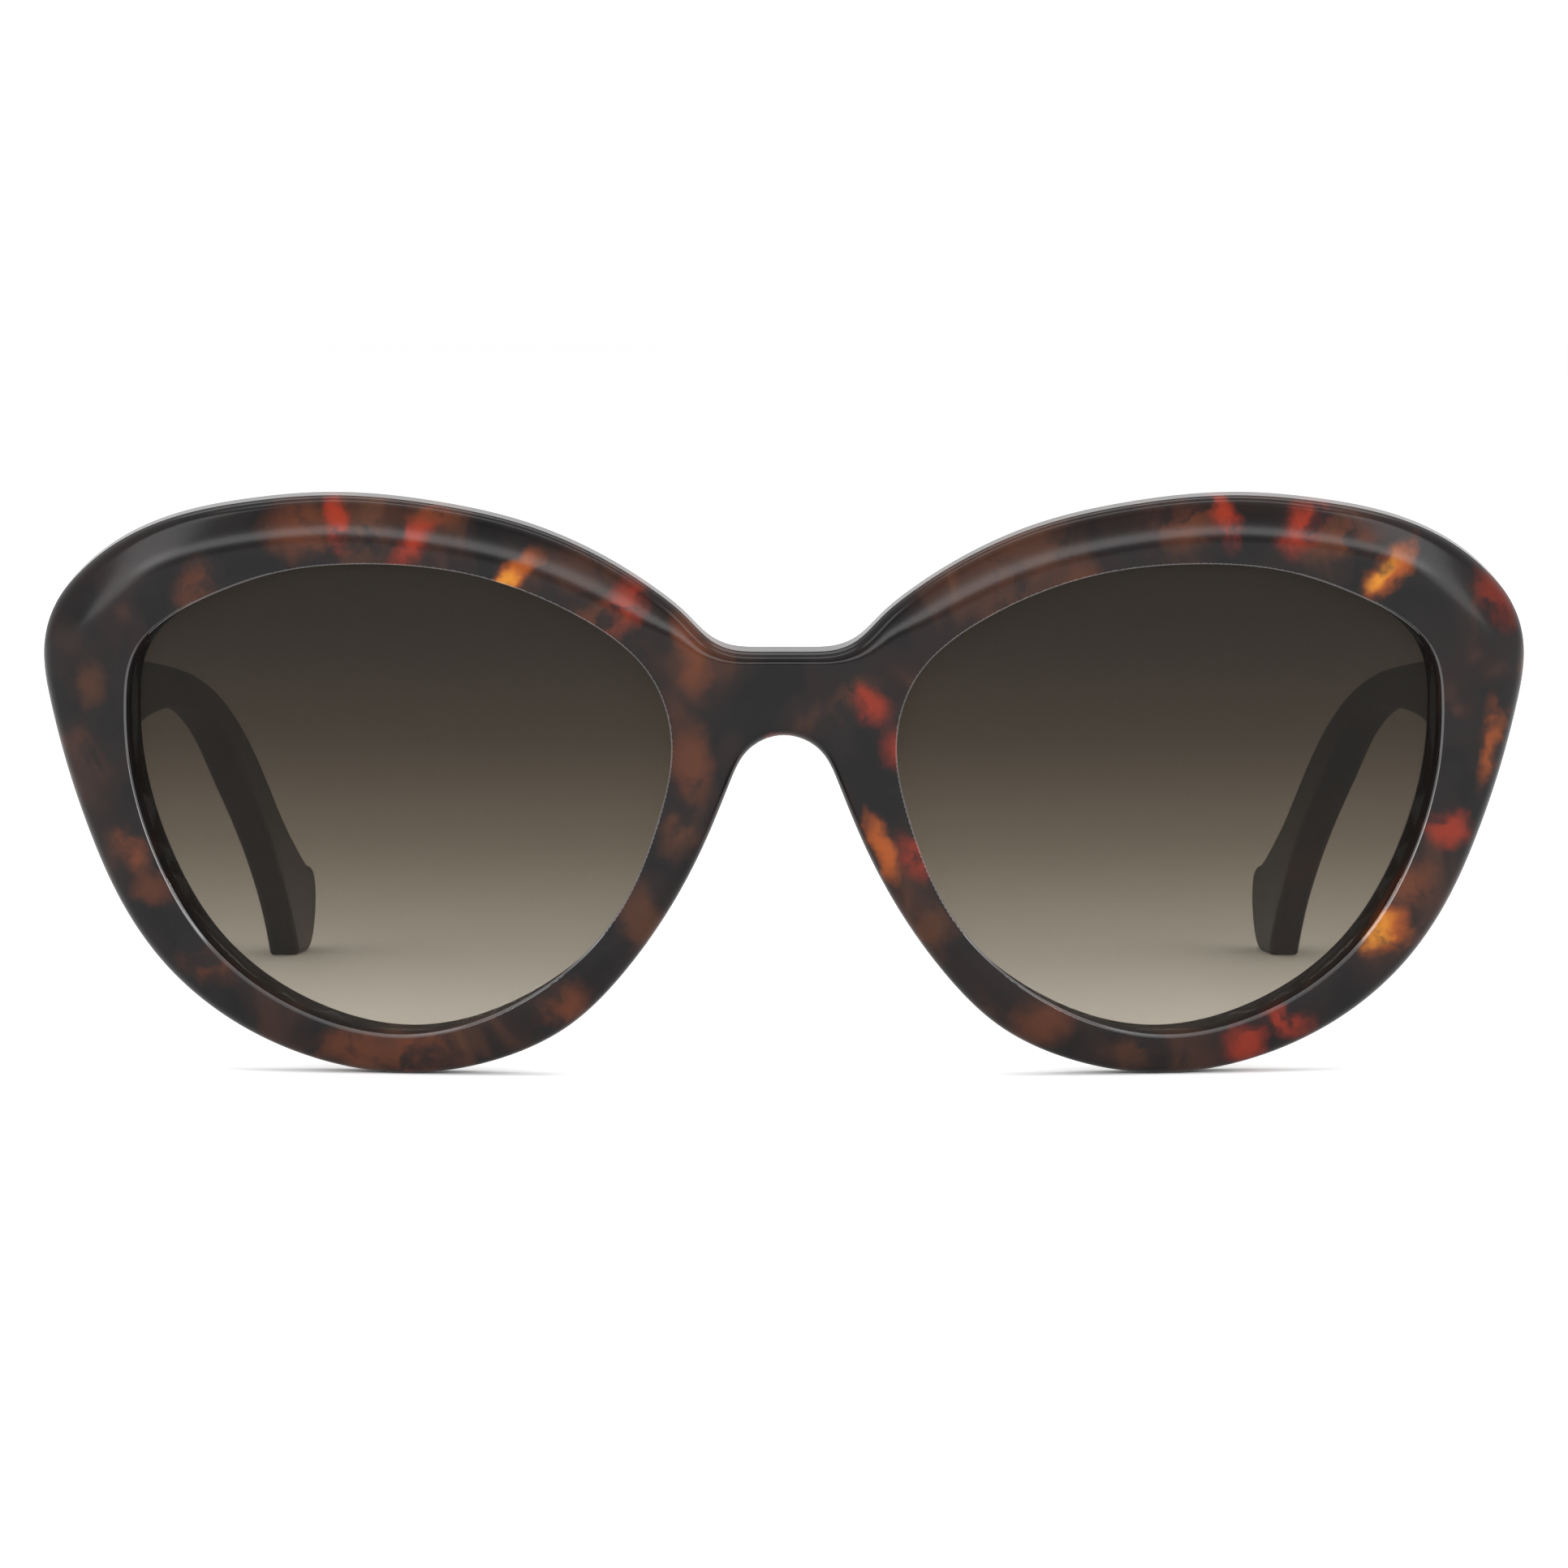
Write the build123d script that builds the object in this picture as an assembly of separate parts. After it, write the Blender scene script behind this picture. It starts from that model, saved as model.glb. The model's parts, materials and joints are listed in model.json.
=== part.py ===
from build123d import *
from math import sqrt
import os

# Cat eye sunglasses in acetate, temples open, standing on a table.
# +X is the wearer's left side as seen from the front (the right of the picture), the front
# of the frame looks towards -Y, the temples run back along +Y and the table is Z = 0.
# The two rims and the two temple tips touch the table. The origin is the bottom centre
# of the box round the whole object.
#
# The front and everything fixed to it is drawn upright in its own frame: Z up along the
# front, Y = 0 on its face at the bridge, Z = 0 at the bottom of the rims. It is then
# leaned forward by FRONT_TILT.

# ---- placing ----
FRONT_TILT = 5.4          # degrees the top of the front leans towards the viewer
FRONT_Y = -75.87          # where the upright front's origin goes
FRONT_Z = -0.412
TEMPLE_Y = -78.47         # where the temples' own Y = 0 goes

# ---- front ----
WRAP_R = 220.0            # radius of the cylinder the front is bent to
FRONT_T = 6.0             # thickness of the acetate sheet
FACE_BEVEL = 2.3          # width of the bevel round the rims, on the face
BROW_BEVEL = 3.6          # width of the same bevel along the brow
BRIDGE_BEVEL = 1.3        # and at the middle of the bridge
EDGE_DROP = 1.3           # how far the bevel falls back at the outer edge
BACK_BEVEL = 1.2          # bevel of the outer edge at the back, 45 degrees
PAD_BEVEL = 0.3           # the same bevel beside the nose pads
BEVEL_SPILL = 0.6         # how far the bevel cutter runs past both of its edges
OUTLINE_STEPS = 120       # points the outline and its bevels are drawn through

# ---- lens and groove ----
LENS_X = 37.0             # lens centre from the middle of the bridge
LENS_YAW = 9.7            # degrees each lens turns to follow the wrap
LIP = 2.2                 # acetate in front of the groove
LENS_T = 2.0
GROOVE = 1.0              # how deep the lens sits in the rim
LENS_FIT = 0.02           # clearance of the lens in its groove
OPENING_STEPS = 48        # points the lens opening is drawn through

# ---- end pieces and hinge ----
SEAT_Y = 17.9             # flat the temple butts against
SEAT_X0 = 62.8
SEAT_X1 = 74.0
SEAT_Z0 = 28.4
SEAT_Z1 = 40.8
BUTT_GAP = 0.15
HINGE_X = 64.2            # pin axis
HINGE_Y = 19.5
HINGE_Z = 34.3            # middle of the barrel
KNUCKLE_R = 1.4
KNUCKLE_H = 1.2
KNUCKLE_GAP = 0.12
LEAF_T = 1.0
FRONT_LEAF_W = 6.0
TEMPLE_LEAF_L = 9.0
PIN_R = 0.7               # M1.4 hinge screw
PIN_RUN = 0.04            # running clearance in the temple's knuckles
PIN_GRIP = 0.02
HEAD_R = 1.2
HEAD_H = 0.7
SLOT_W = 0.35
SLOT_DEEP = 0.35

# ---- temple ----
TEMPLE_IN_X = 65.8        # inner face at the hinge
TEMPLE_ROUND = 0.6
WIRE_R = 0.65             # metal core

# ---- nose pads ----
PAD_X = 10.3
PAD_Z = 22.5
PAD_HALF = (1.9, 4.3, 7.6)
PAD_LEAN = -25.3

# Right half of the front's outline, from the top of the bridge round to its underside.
OUTLINE = [
    (0, 41.6), (3.0, 41.6), (5.1, 41.8), (6.8, 42.5), (9.3, 44.8), (12.1, 47.1),
    (17.0, 50.2), (24.1, 53.3), (33.1, 55.3), (43.5, 56.0), (51.8, 55.1), (58.2, 53.6),
    (64.7, 50.5), (68.5, 47.2), (70.7, 44.1), (71.7, 40.0), (71.1, 35.0), (69.5, 28.7),
    (67.4, 22.5), (64.6, 16.2), (60.3, 10.0), (52.6, 4.0), (46.0, 1.3), (36.5, 0),
    (27.2, 1.7), (20.7, 5.0), (15.7, 9.9), (11.2, 16.2), (7.8, 22.6), (5.2, 28.9),
    (3.5, 32.0), (0, 33.5),
]

# Lens opening, across and up from the lens axis, clockwise from the temple side.
OPENING = [
    (27.1, 35.5), (26.8, 29.7), (23.9, 20.0), (18.9, 12.2), (8.5, 5.5), (0, 4.0),
    (-12.0, 7.7), (-20.9, 15.9), (-25.1, 25.6), (-26.3, 32.8), (-24.4, 39.2),
    (-17.2, 45.2), (-7.1, 48.9), (3.6, 49.7), (10.8, 48.9), (18.6, 46.2), (23.9, 43.0),
    (26.3, 40.0),
]

# Temple from the side: distance back and height.
TEMPLE_TOP = [
    (10, 42.2), (30, 39.6), (60, 37.2), (90, 35.0), (104, 33.1), (113, 30.6),
    (121, 26.6), (129, 21.2), (137, 16.4), (147, 12.0), (154.0, 9.3),
]
TEMPLE_END = [(154.0, 9.3), (157.7, 7.6), (158.1, 5.2), (152.4, 0)]
TEMPLE_BOTTOM = [
    (147.5, 0), (144.6, 3.2), (137, 9.3), (128, 16.0), (121, 21.2), (115, 25.7),
    (108, 28.8), (100, 30.2), (90, 30.5), (60, 30.2), (30, 29.6), (10, 29.3),
]

# Temple from above: distance back, inner face and outer face.
TEMPLE_PLAN = [
    (10, 65.8, 70.0), (30, 65.8, 70.0), (60, 65.5, 69.7), (85, 64.6, 68.6),
    (100, 62.5, 66.3), (112, 60.1, 63.9), (120, 58.1, 61.9), (128, 56.2, 59.9),
    (137, 54.7, 58.1), (147, 53.4, 56.7), (160, 51.5, 54.6),
]

WIRE_PATH = [
    (67.9, 29.5, 34.6), (67.6, 60, 33.7), (67.0, 85, 32.9), (65.2, 100, 31.6),
    (62.9, 112, 29.2), (60.9, 120, 24.9), (59.0, 128, 19.3), (57.1, 137, 13.1),
    (55.6, 146, 7.4),
]


def set_front(shape):
    """Lean an upright front piece forward and put it on the table."""
    return Pos(0, FRONT_Y, FRONT_Z) * Rot(FRONT_TILT, 0, 0) * shape


def wrap_shell(outer, inner):
    """Bent sheet between two depths behind the face of the front."""
    solid = Cylinder(WRAP_R - outer, 120)
    hollow = Cylinder(WRAP_R - inner, 130)
    return Pos(0, WRAP_R, 30) * (solid - hollow)


def outline_curve():
    """Closed outline of the front, both halves."""
    left = [(-x, z) for x, z in reversed(OUTLINE[1:-1])]
    return Spline(*OUTLINE, *left, periodic=True)


def opening_curve():
    """Closed outline of a lens opening, seen along the lens axis."""
    return Spline(*OPENING, periodic=True)


def beside(curve, step, steps, shift):
    """Point beside a closed clockwise curve, outside it where the shift is positive."""
    point = curve @ (step / steps)
    along = curve % (step / steps)
    return (point.X - along.Y * shift, point.Y + along.X * shift)


def halves(points):
    """Closed run of points as two open splines that share their ends."""
    middle = len(points) // 2
    return Spline(*points[: middle + 1]), Spline(*points[middle:], points[0])


def prism(curve, steps, grow, length):
    """Prism along Y on a closed curve grown outwards by the given amount."""
    points = [beside(curve, step, steps, grow) for step in range(steps)]
    return extrude(Plane.XZ * make_face(halves(points)), amount=length, dir=(0, 1, 0))


def outline_prism():
    """Whole outline of the front as a prism along Y."""
    return prism(outline_curve(), OUTLINE_STEPS, 0, 30)


def on_sheet(x, z, depth):
    """Point of the bent sheet at a depth behind its face."""
    return (x, WRAP_R - sqrt((WRAP_R - depth) ** 2 - x * x), z)


def ease(value):
    """Smooth step from 0 to 1."""
    value = min(max(value, 0), 1)
    return value * value * (3 - 2 * value)


def face_bevel(x, z):
    """Width and drop of the face bevel, widest on the brow and narrowest on the bridge."""
    width = FACE_BEVEL + (BROW_BEVEL - FACE_BEVEL) * ease((z - 36) / 14)
    bridge = 1 / (1 + (x / 9) ** 4)
    return width + (BRIDGE_BEVEL - width) * bridge, EDGE_DROP


def back_bevel(x, z):
    """Width and drop of the back bevel, almost nothing beside the nose pads."""
    notch = ease((20 - abs(x)) / 6) * ease((39 - z) / 4)
    width = BACK_BEVEL + (PAD_BEVEL - BACK_BEVEL) * notch
    return width, width


def edge_cutter(bevel_at, depth, way):
    """Ring, in two halves, that planes the outer edge of the sheet down from one face."""
    curve = outline_curve()
    inner = []
    outer = []
    for step in range(OUTLINE_STEPS):
        width, drop = bevel_at(*beside(curve, step, OUTLINE_STEPS, 0))
        over = way * drop * BEVEL_SPILL / width
        start = beside(curve, step, OUTLINE_STEPS, -width - BEVEL_SPILL)
        end = beside(curve, step, OUTLINE_STEPS, BEVEL_SPILL)
        inner.append(on_sheet(*start, depth - over))
        outer.append(on_sheet(*end, depth + way * drop + over))
    cutters = []
    for low, high in zip(halves(inner), halves(outer)):
        band = Face.make_surface_from_curves(low.edge(), high.edge())
        cutters.append(extrude(band, amount=12, dir=(0, -way, 0)))
    return cutters


def opening_prism(grow):
    """Lens opening cut along the lens axis, grown all round by the given amount."""
    cut = prism(opening_curve(), OPENING_STEPS, grow, 40)
    return Pos(LENS_X, 3.1, 0) * Rot(0, 0, LENS_YAW) * Pos(0, -12, 0) * cut


def bent_sheet():
    """Uncut sheet with a flat, thicker seat behind each end piece."""
    sheet = wrap_shell(0, FRONT_T)
    block = Pos((SEAT_X0 + SEAT_X1) / 2, SEAT_Y - 2.0, (SEAT_Z0 + SEAT_Z1) / 2) * Box(
        SEAT_X1 - SEAT_X0, 4.0, SEAT_Z1 - SEAT_Z0
    )
    return sheet + block + mirror(block, Plane.YZ)


def knuckle_z(index):
    """Middle height of one of the five knuckles, counted from the bottom."""
    return HINGE_Z + (index - 2) * (KNUCKLE_H + KNUCKLE_GAP)


def front_hinge():
    """Plate sunk in the end piece with knuckles 0, 2 and 4."""
    height = 5 * KNUCKLE_H + 4 * KNUCKLE_GAP
    leaf = Pos(SEAT_X0 + FRONT_LEAF_W / 2, SEAT_Y - LEAF_T / 2, HINGE_Z) * Box(
        FRONT_LEAF_W, LEAF_T, height
    )
    neck_w = KNUCKLE_R + 0.3
    for index in (0, 2, 4):
        z = knuckle_z(index)
        leaf += Pos(HINGE_X, HINGE_Y, z) * Cylinder(KNUCKLE_R, KNUCKLE_H)
        leaf += Pos(HINGE_X - KNUCKLE_R + neck_w / 2, (SEAT_Y - 0.5 + HINGE_Y) / 2, z) * Box(
            neck_w, HINGE_Y - SEAT_Y + 0.5, KNUCKLE_H
        )
    return leaf - Pos(HINGE_X, HINGE_Y, HINGE_Z) * Cylinder(PIN_R + PIN_GRIP, 20)


def temple_hinge():
    """Plate sunk in the temple's inner face with knuckles 1 and 3."""
    height = 5 * KNUCKLE_H + 4 * KNUCKLE_GAP
    leaf = Pos(TEMPLE_IN_X + LEAF_T / 2, HINGE_Y - 0.2 + TEMPLE_LEAF_L / 2, HINGE_Z) * Box(
        LEAF_T, TEMPLE_LEAF_L, height
    )
    neck_l = TEMPLE_IN_X + 0.5 - HINGE_X
    for index in (1, 3):
        z = knuckle_z(index)
        leaf += Pos(HINGE_X, HINGE_Y, z) * Cylinder(KNUCKLE_R, KNUCKLE_H)
        leaf += Pos(HINGE_X + neck_l / 2, HINGE_Y + 0.6, z) * Box(neck_l, 1.6, KNUCKLE_H)
    return leaf - Pos(HINGE_X, HINGE_Y, HINGE_Z) * Cylinder(PIN_R + PIN_RUN, 20)


def hinge_screw():
    """Slotted screw that pins the five knuckles together."""
    half = 2.5 * KNUCKLE_H + 2 * KNUCKLE_GAP
    shaft = Pos(HINGE_X, HINGE_Y, HINGE_Z) * Cylinder(PIN_R, 2 * half)
    head = Pos(HINGE_X, HINGE_Y, HINGE_Z + half + HEAD_H / 2) * Cylinder(HEAD_R, HEAD_H)
    head = chamfer(head.edges().sort_by(Axis.Z)[-1], 0.2)
    slot = Pos(HINGE_X, HINGE_Y, HINGE_Z + half + HEAD_H) * Box(3, SLOT_W, 2 * SLOT_DEEP)
    return shaft + (head - slot)


def front_frame():
    """Both rims, the bridge and the end pieces in one bent sheet."""
    hinge = front_hinge()
    bore = Pos(HINGE_X, HINGE_Y, HINGE_Z) * Cylinder(PIN_R + PIN_GRIP, 6)
    groove = opening_prism(GROOVE) & wrap_shell(LIP, LIP + LENS_T)
    front = outline_prism() & bent_sheet()
    for cut in (opening_prism(0), groove, hinge + bore):
        front -= cut
        front -= mirror(cut, Plane.YZ)
    for cutter in edge_cutter(face_bevel, 0, 1) + edge_cutter(back_bevel, FRONT_T, -1):
        front -= cutter
    return front


def lens():
    """Lens with its edge in the groove of the rim."""
    blank = wrap_shell(LIP + LENS_FIT, LIP + LENS_T - LENS_FIT)
    return opening_prism(GROOVE - LENS_FIT) & blank


def nose_pad():
    """Moulded pad bonded to the back of the rim beside the nose."""
    blob = scale(Sphere(1), PAD_HALF)
    blob = Pos(PAD_X, WRAP_R - sqrt((WRAP_R - FRONT_T) ** 2 - PAD_X ** 2), PAD_Z) * (
        Rot(0, PAD_LEAN, 0) * blob
    )
    return blob & Pos(0, WRAP_R, 30) * Cylinder(WRAP_R - FRONT_T, 130)


def core_wire():
    """Metal core of the temple."""
    path = Spline(*WIRE_PATH)
    section = Plane(origin=path @ 0, z_dir=path % 0) * Circle(WIRE_R)
    return Pos(0, TEMPLE_Y, 0) * sweep(section, path=path)


def temple_blank():
    """Shank, ear bend and paddle tip with rounded edges, longer than needed at the hinge."""
    side = make_face(
        [
            Spline(*TEMPLE_TOP),
            Spline(*TEMPLE_END),
            Line(TEMPLE_END[-1], TEMPLE_BOTTOM[0]),
            Spline(*TEMPLE_BOTTOM),
            Line(TEMPLE_BOTTOM[-1], TEMPLE_TOP[0]),
        ]
    )
    inner = Spline(*[(x, y) for y, x, _ in TEMPLE_PLAN])
    outer = Spline(*[(x, y) for y, _, x in TEMPLE_PLAN])
    plan = make_face([inner, outer, Line(inner @ 0, outer @ 0), Line(inner @ 1, outer @ 1)])
    bar = extrude(Plane.YZ * side, amount=90, dir=(1, 0, 0)) & extrude(plan, amount=60)
    long_edges = [edge for edge in bar.edges() if edge.length > 4.5]
    return Pos(0, TEMPLE_Y, 0) * fillet(long_edges, TEMPLE_ROUND)


def temple():
    """Temple cut square to the seat and hollowed for its hinge leaf and core wire."""
    reach = SEAT_Y + BUTT_GAP
    past_seat = set_front(Pos(0, reach - 50, 30) * Box(200, 100, 200))
    return temple_blank() - past_seat - set_front(temple_hinge()) - core_wire()


def save(node, shape):
    """Write one piece of the right half and its mirror image on the left."""
    export_step(shape, f"parts/{node}_right.step")
    export_step(mirror(shape, Plane.YZ), f"parts/{node}_left.step")


if __name__ == "__main__":
    os.makedirs("parts", exist_ok=True)
    export_step(set_front(front_frame()), "parts/front_frame.step")
    save("lens", set_front(lens()))
    save("nose_pad", set_front(nose_pad()))
    save("front_hinge", set_front(front_hinge()))
    save("hinge_screw", set_front(hinge_screw()))
    save("temple", temple())
    save("temple_hinge", set_front(temple_hinge()))
    save("core_wire", core_wire())
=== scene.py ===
import json
import math

import bpy
import numpy as np
from mathutils import Matrix, Vector, geometry


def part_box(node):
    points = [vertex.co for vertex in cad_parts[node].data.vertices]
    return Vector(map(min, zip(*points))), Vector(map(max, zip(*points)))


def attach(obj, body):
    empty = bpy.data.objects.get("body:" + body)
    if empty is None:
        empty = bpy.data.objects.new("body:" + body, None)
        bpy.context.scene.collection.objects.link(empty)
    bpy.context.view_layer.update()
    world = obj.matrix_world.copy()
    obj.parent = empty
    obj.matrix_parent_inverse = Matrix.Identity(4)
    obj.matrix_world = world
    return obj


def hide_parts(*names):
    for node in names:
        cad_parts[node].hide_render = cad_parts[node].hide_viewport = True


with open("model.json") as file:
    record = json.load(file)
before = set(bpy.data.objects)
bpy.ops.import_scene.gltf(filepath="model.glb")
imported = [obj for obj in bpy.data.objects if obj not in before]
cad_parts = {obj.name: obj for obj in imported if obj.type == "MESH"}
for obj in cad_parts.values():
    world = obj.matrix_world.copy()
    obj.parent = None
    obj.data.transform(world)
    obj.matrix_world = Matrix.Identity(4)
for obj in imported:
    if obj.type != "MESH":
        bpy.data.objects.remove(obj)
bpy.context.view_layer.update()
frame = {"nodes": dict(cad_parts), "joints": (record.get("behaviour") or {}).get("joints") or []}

# ---------------------------------------------------------------- the front's own frame
# The front is drawn upright, in millimetres: x across, z up, and a depth behind the face of a
# sheet bent to a cylinder. The right hinge's axis gives the lean and the place of that frame.
HINGE = (64.2, 19.5, 34.3)      # middle of the right hinge's barrel
WRAP_R = 220.0                  # radius of the cylinder the front is bent to
SHEET_T = 6.0                   # thickness of the acetate sheet
LENS_X, LENS_Y = 37.0, 3.1      # middle of the right lens opening
LENS_YAW = math.radians(9.7)    # turn of each lens to follow the wrap
SEAT_Y = 17.9                   # flat behind the end piece, which the temple butts against
SEAT_X = 62.8                   # where that flat begins
SEAT_Z = (28.4, 40.8)           # and its foot and head
SEAT_BLEND = 0.5                # width over which it runs out into the bent back

joint = [j for j in frame["joints"] if j["name"] == "temple_right_fold"][0]
axis = Vector(joint["axis"]).normalized()
LEAN = Matrix.Rotation(math.atan2(-axis.y, axis.z), 3, "X")
ORIGIN = Vector(joint["pos_m"]) * 1000 - LEAN @ Vector(HINGE)

# Outline of the right half, from the middle of the brow round to the nose.
OUTLINE = [
    (0, 41.6), (3.0, 41.6), (5.1, 41.8), (6.8, 42.5), (9.3, 44.8), (12.1, 47.1),
    (17.0, 50.2), (24.1, 53.3), (33.1, 55.3), (43.5, 56.0), (51.8, 55.1), (58.2, 53.6),
    (64.7, 50.5), (68.5, 47.2), (70.7, 44.1), (71.7, 40.0), (71.1, 35.0), (69.5, 28.7),
    (67.4, 22.5), (64.6, 16.2), (60.3, 10.0), (52.6, 4.0), (46.0, 1.3), (36.5, 0),
    (27.2, 1.7), (20.7, 5.0), (15.7, 9.9), (11.2, 16.2), (7.8, 22.6), (5.2, 28.9),
    (3.5, 32.0), (0, 33.5),
]
OUTLINE = OUTLINE + [(-x, z) for x, z in reversed(OUTLINE[1:-1])]

# Lens opening about its own middle, x across and z up, seen from the front on the right side.
OPENING = [
    (27.1, 35.5), (26.8, 29.7), (23.9, 20.0), (18.9, 12.2), (8.5, 5.5), (0, 4.0),
    (-12.0, 7.7), (-20.9, 15.9), (-25.1, 25.6), (-26.3, 32.8), (-24.4, 39.2),
    (-17.2, 45.2), (-7.1, 48.9), (3.6, 49.7), (10.8, 48.9), (18.6, 46.2), (23.9, 43.0),
    (26.3, 40.0),
]


SPLINE_STEPS = 60       # fine steps between two given points, before the even spacing
BATCH = 4000            # points compared with a ring at one time


def closed_spline(points, count):
    """Points at even spacing on the closed cubic spline through the given ones."""
    pts = np.array(points, float)
    n = len(pts)
    step = np.linalg.norm(np.roll(pts, -1, 0) - pts, axis=1)
    rows = np.zeros((n, n))
    right = np.zeros((n, 2))
    for i in range(n):
        before, after = step[i - 1], step[i]
        rows[i, i - 1] = after
        rows[i, i] = 2 * (before + after)
        rows[i, (i + 1) % n] = before
        slope_in = (pts[i] - pts[i - 1]) / before
        slope_out = (pts[(i + 1) % n] - pts[i]) / after
        right[i] = 3 * (after * slope_in + before * slope_out)
    slope = np.linalg.solve(rows, right)
    fine = []
    for i in range(n):
        t = np.linspace(0, 1, SPLINE_STEPS, endpoint=False)[:, None]
        a, b, h = pts[i], pts[(i + 1) % n], step[i]
        fine.append(
            (2 * t**3 - 3 * t**2 + 1) * a
            + (t**3 - 2 * t**2 + t) * h * slope[i]
            + (3 * t**2 - 2 * t**3) * b
            + (t**3 - t**2) * h * slope[(i + 1) % n]
        )
    fine = np.vstack(fine + [fine[0][:1]])
    run = np.concatenate([[0], np.cumsum(np.linalg.norm(np.diff(fine, axis=0), axis=1))])
    want = np.linspace(0, run[-1], count, endpoint=False)
    return np.stack([np.interp(want, run, fine[:, k]) for k in (0, 1)], 1)


def normals(ring):
    """Unit normals of a closed clockwise ring, pointing outwards."""
    along = np.roll(ring, -1, 0) - np.roll(ring, 1, 0)
    along /= np.linalg.norm(along, axis=1)[:, None]
    return np.stack([-along[:, 1], along[:, 0]], 1)


def nearest(points, ring):
    """Distance from each point to the closed ring, the nearest place and its outward normal."""
    a = ring
    b = np.roll(ring, -1, 0)
    out_a = normals(ring)
    out_b = np.roll(out_a, -1, 0)
    best = np.full(len(points), 1e9)
    place_on = np.zeros((len(points), 2))
    outward = np.zeros((len(points), 2))
    for start in range(0, len(points), BATCH):
        part = slice(start, start + BATCH)
        p = points[part]
        k = ((p[:, None, :] - a[None]) ** 2).sum(2).argmin(1)
        for shift in (-1, 0):
            i = (k + shift) % len(a)
            edge = b[i] - a[i]
            t = ((p - a[i]) * edge).sum(1) / (edge**2).sum(1)
            t = np.clip(t, 0, 1)[:, None]
            foot = a[i] + t * edge
            dist = np.linalg.norm(p - foot, axis=1)
            closer = dist < best[part]
            best[part] = np.where(closer, dist, best[part])
            place_on[part] = np.where(closer[:, None], foot, place_on[part])
            mixed = out_a[i] * (1 - t) + out_b[i] * t
            outward[part] = np.where(closer[:, None], mixed, outward[part])
    outward /= np.maximum(np.linalg.norm(outward, axis=1), 1e-9)[:, None]
    return best, place_on, outward


def inside(points, ring):
    """True for the points inside a closed ring."""
    x, z = points[:, 0][:, None], points[:, 1][:, None]
    a, b = ring[None], np.roll(ring, -1, 0)[None]
    cross = (a[..., 1] > z) != (b[..., 1] > z)
    with np.errstate(divide="ignore", invalid="ignore"):
        at = (b[..., 0] - a[..., 0]) * (z - a[..., 1]) / (b[..., 1] - a[..., 1]) + a[..., 0]
    return (cross & (x < at)).sum(1) % 2 == 1


def ease(value):
    """Smooth step from 0 to 1."""
    value = np.clip(value, 0, 1)
    return value * value * (3 - 2 * value)


def sheet_y(x, depth):
    """Local y of the bent sheet."""
    return WRAP_R - np.sqrt((WRAP_R - depth) ** 2 - x * x)


def opening_ring(side, depth, count, grow=0.0):
    """The lens opening where it crosses a depth of the sheet, as x, z."""
    flat = closed_spline(OPENING, count)
    if grow:
        flat = flat + normals(flat) * grow
    cos, sin = math.cos(LENS_YAW), math.sin(LENS_YAW)
    px, py = LENS_X + flat[:, 0] * cos, LENS_Y + flat[:, 0] * sin - WRAP_R
    half_b = px * -sin + py * cos
    run = -half_b - np.sqrt(half_b**2 - (px**2 + py**2 - (WRAP_R - depth) ** 2))
    ring = np.stack([(px - run * sin) * side, flat[:, 1]], 1)
    return ring if side > 0 else ring[::-1]


def place(x, z, depth=None, y=None):
    """The front's own millimetres, moved to the shared frame in metres."""
    if y is None:
        y = sheet_y(x, depth)
    local = np.stack([x, y, z], 1)
    return (local @ np.array(LEAN).T + np.array(ORIGIN)) / 1000


def add_mesh(name, verts, faces, body):
    """A smooth-shaded piece that rides on a body."""
    mesh = bpy.data.meshes.new(name)
    mesh.from_pydata([tuple(v) for v in verts], [], [tuple(int(i) for i in f) for f in faces])
    mesh.validate()
    mesh.update()
    piece = bpy.data.objects.new(name, mesh)
    bpy.context.scene.collection.objects.link(piece)
    for poly in mesh.polygons:
        poly.use_smooth = True
    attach(piece, body)
    return piece


WELD = 1e-6             # points closer than this become one
SPARSE_FROM = 1.5       # farther than this from the outline, every second point is enough
RING_SLACK = 0.03       # a ring's point that is nearer the outline than this is left out
HOLE_GAP = 0.35         # room between the outline's rings and the opening's
EDGE_GAP = 0.6          # room between the opening's rings and the outline
GRID_GAP = 0.5          # room between the rings and the even grid
ROW_RATIO = 0.87        # height of a row of triangles to their side


def fill(rings, holes, extra):
    """Triangles between the outline, the holes and loose points inside them."""
    coords = [Vector(p) for ring in rings + holes for p in ring]
    edges = []
    base = 0
    for ring in rings + holes:
        n = len(ring)
        edges += [(base + i, base + (i + 1) % n) for i in range(n)]
        base += n
    coords += [Vector(p) for p in extra]
    out = geometry.delaunay_2d_cdt(coords, edges, [], 0, WELD)
    points = np.array([tuple(p) for p in out[0]])
    order = {}
    for new, old in enumerate(out[3]):
        for o in old:
            order[o] = new
    tris = np.array([f for f in out[2] if len(f) == 3])
    middle = points[tris].mean(1)
    keep = inside(middle, rings[0])
    for hole in holes:
        keep &= ~inside(middle, hole)
    tris = tris[keep]
    a, b, c = points[tris[:, 0]], points[tris[:, 1]], points[tris[:, 2]]
    area = (b[:, 0] - a[:, 0]) * (c[:, 1] - a[:, 1]) - (b[:, 1] - a[:, 1]) * (c[:, 0] - a[:, 0])
    tris = np.where((area < 0)[:, None], tris[:, ::-1], tris)
    loops = []
    base = 0
    for ring in rings + holes:
        loops.append(np.array([order[base + i] for i in range(len(ring))]))
        base += len(ring)
    return points, tris, loops


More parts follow.
